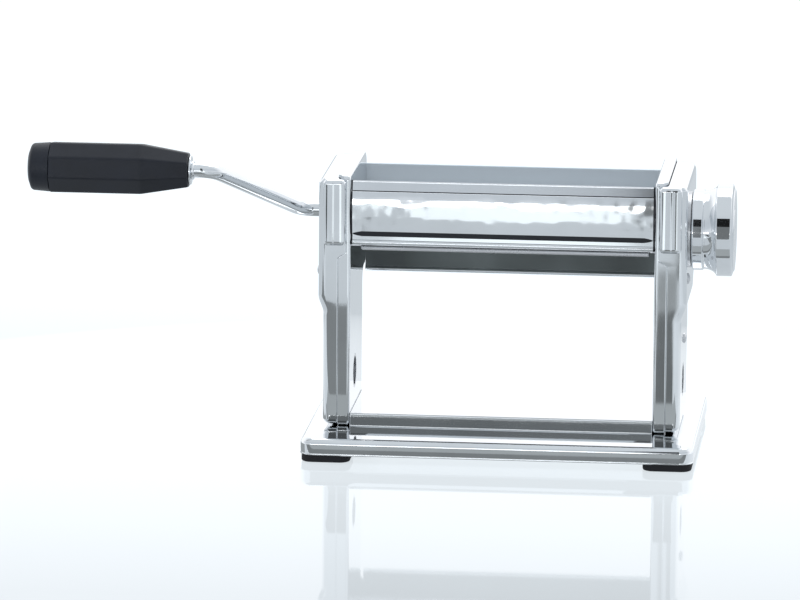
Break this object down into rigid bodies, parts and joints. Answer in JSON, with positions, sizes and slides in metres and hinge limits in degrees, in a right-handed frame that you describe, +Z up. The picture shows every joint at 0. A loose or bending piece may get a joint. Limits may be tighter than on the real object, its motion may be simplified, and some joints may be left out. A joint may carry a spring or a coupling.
{
  "type": "pasta machine",
  "caption": "Hand-cranked pasta machine on a flat base: two smooth rollers between upright stands, a pull-and-turn thickness dial, and a bent crank with a loose grip.",
  "frame": {"origin": "middle of the base, on the table that the rubber feet stand on", "axes": "+X along the rollers towards the dial, +Y to the back, +Z up"},
  "size_m": [0.387, 0.1602, 0.1743],
  "materials": {
    "chrome_sheet": "polished",
    "chrome_rod": "polished",
    "roller_steel": "satin",
    "bright_steel": "satin",
    "bronze": "satin",
    "black_plastic": "satin",
    "black_rubber": "matte"
  },
  "bodies": {
    "root": {"base_plate": "chrome_sheet", "rubber_feet": "black_rubber", "base_bridge": "chrome_sheet", "base_screws": "bright_steel", "base_nuts": "bright_steel", "left_side_plate": "chrome_sheet", "right_side_plate": "chrome_sheet", "left_side_cover": "chrome_sheet", "right_side_cover": "chrome_sheet", "cover_screws": "bright_steel", "clamp_sockets": "bright_steel", "front_cover": "chrome_sheet", "rear_cover": "chrome_sheet", "tie_rods": "bright_steel", "tie_rod_screws": "bright_steel", "rear_scraper": "bright_steel", "drive_bushes": "bronze", "axle_bush_left": "bronze", "axle_bush_right": "bronze", "index_plate": "bright_steel"},
    "drive": {"rear_roller": "roller_steel", "drive_shaft": "bright_steel", "drive_gear": "bright_steel", "shaft_clip": "bright_steel"},
    "crank": {"crank_rod": "chrome_rod", "grip_washer": "chrome_rod", "grip_clip": "bright_steel"},
    "grip": {"grip": "black_plastic", "grip_end_cap": "black_plastic"},
    "axle": {"eccentric_axle": "bright_steel", "dial_screw": "bright_steel", "dial_spring": "bright_steel"},
    "dial": {"dial_knob": "chrome_sheet", "dial_pin": "bright_steel", "dial_cap": "chrome_sheet"},
    "carriage": {"scraper_carriers": "bright_steel", "front_scraper": "bright_steel"},
    "front_roller": {"front_roller": "roller_steel", "front_gear": "bright_steel", "roller_bushes": "bronze"}
  },
  "joints": [
    {"name": "drive_spin", "type": "hinge", "parent": "root", "child": "drive", "pos_m": [0, 0.0155, 0.1248], "axis": [1, 0, 0], "continuous": true},
    {"name": "crank_pull", "type": "slide", "parent": "drive", "child": "crank", "axis": [-1, 0, 0], "range_m": [0, 0.02]},
    {"name": "grip_spin", "type": "hinge", "parent": "crank", "child": "grip", "pos_m": [-0.2, -0.06735, 0.15997], "axis": [1, 0, 0], "continuous": true},
    {"name": "dial_turn", "type": "hinge", "parent": "root", "child": "axle", "pos_m": [0.1, -0.0182, 0.1248], "axis": [1, 0, 0], "range_deg": [0, 180]},
    {"name": "dial_pull", "type": "slide", "parent": "axle", "child": "dial", "axis": [1, 0, 0], "range_m": [0, 0.005], "stiffness_N_per_m": 400, "springref_m": -0.01, "deforming": ["dial_spring"]},
    {"name": "carriage_follow", "type": "hinge", "parent": "axle", "child": "carriage", "pos_m": [0, -0.0203, 0.1248], "axis": [1, 0, 0], "range_deg": [-180, 0]},
    {"name": "front_spin", "type": "hinge", "parent": "carriage", "child": "front_roller", "pos_m": [0, -0.0203, 0.1248], "axis": [1, 0, 0], "continuous": true}
  ],
  "couplings": [
    {"joint": "carriage_follow", "follows": "dial_turn", "ratio": -1},
    {"joint": "front_spin", "follows": "drive_spin", "ratio": -1}
  ]
}
